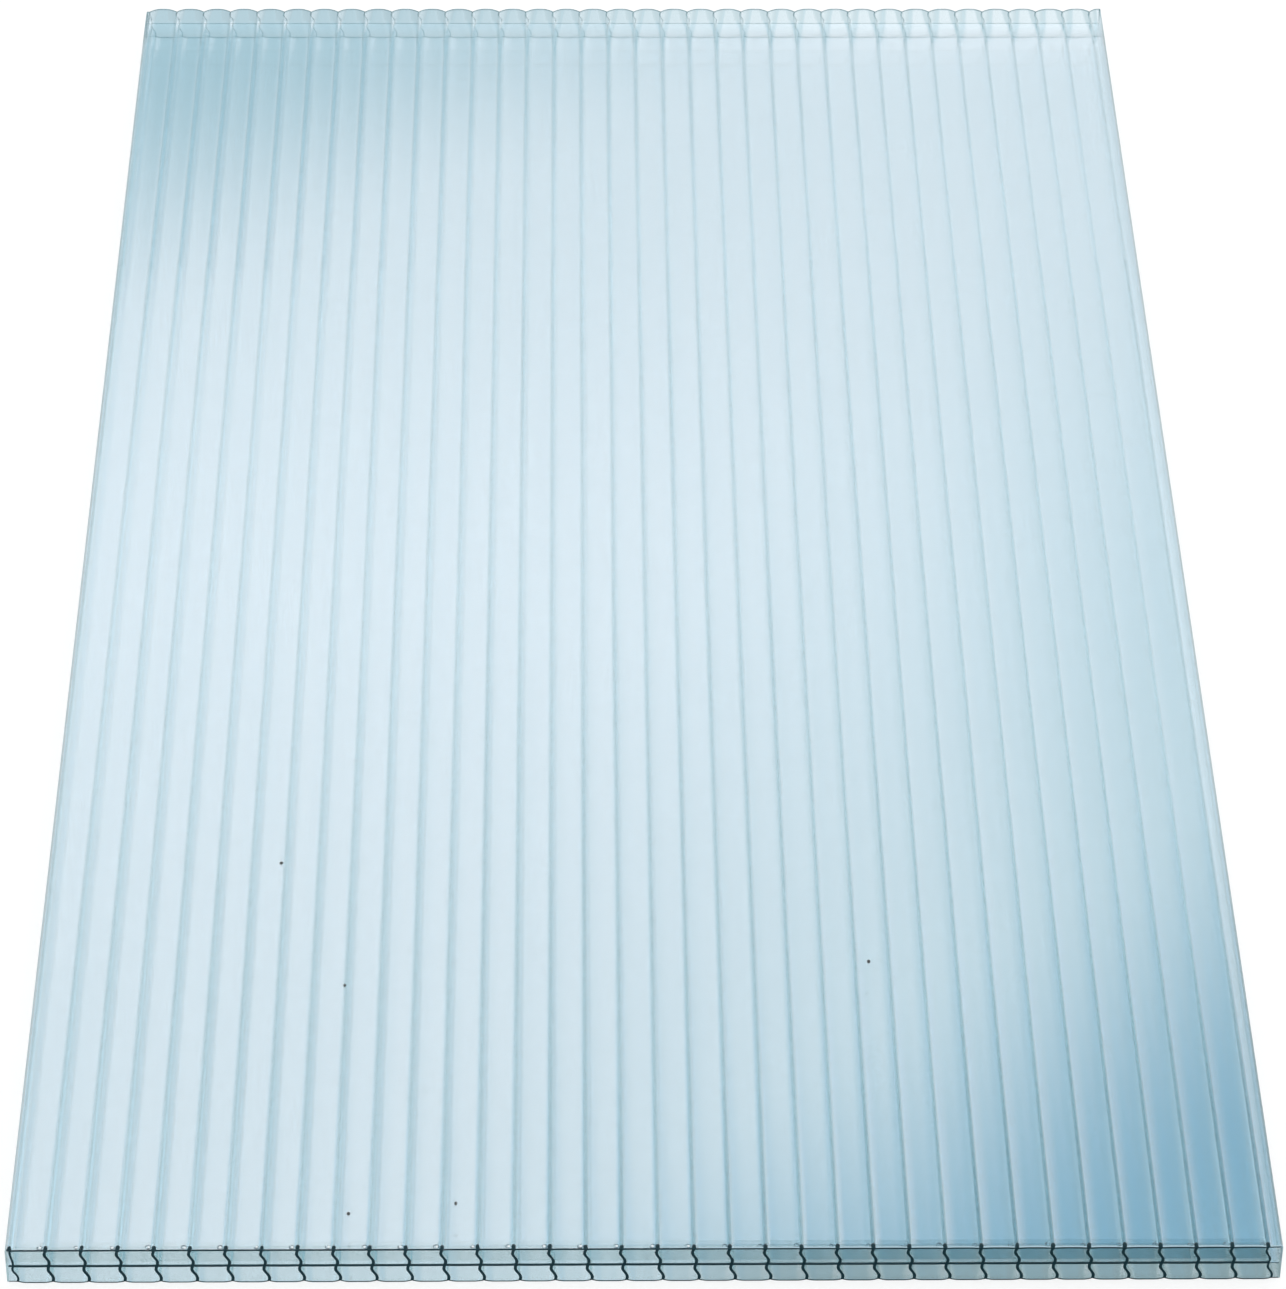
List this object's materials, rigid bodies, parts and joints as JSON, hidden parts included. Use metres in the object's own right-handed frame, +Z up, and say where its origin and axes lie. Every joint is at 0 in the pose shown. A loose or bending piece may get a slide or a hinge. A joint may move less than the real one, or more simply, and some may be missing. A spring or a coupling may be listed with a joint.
{
  "type": "multiwall polycarbonate sheet",
  "caption": "Flat see-through multiwall plastic glazing sheet: thin skins held apart by a middle wall and swaying ribs, with hollow flutes along its full length",
  "frame": {"origin": "middle of the underside, at the centre of the sheet's width and length", "axes": "+X across the width, square to the flutes; +Y along the flutes towards the back end; +Z up, out of the top skin"},
  "size_m": [0.7, 1.3, 0.025],
  "materials": {
    "polycarbonate": "clear with a pale blue tint, glossy",
    "grime": "a few tiny dark specks of dust on the top skin"
  },
  "bodies": {
    "root": {"multiwall_sheet": "polycarbonate"}
  },
  "joints": []
}
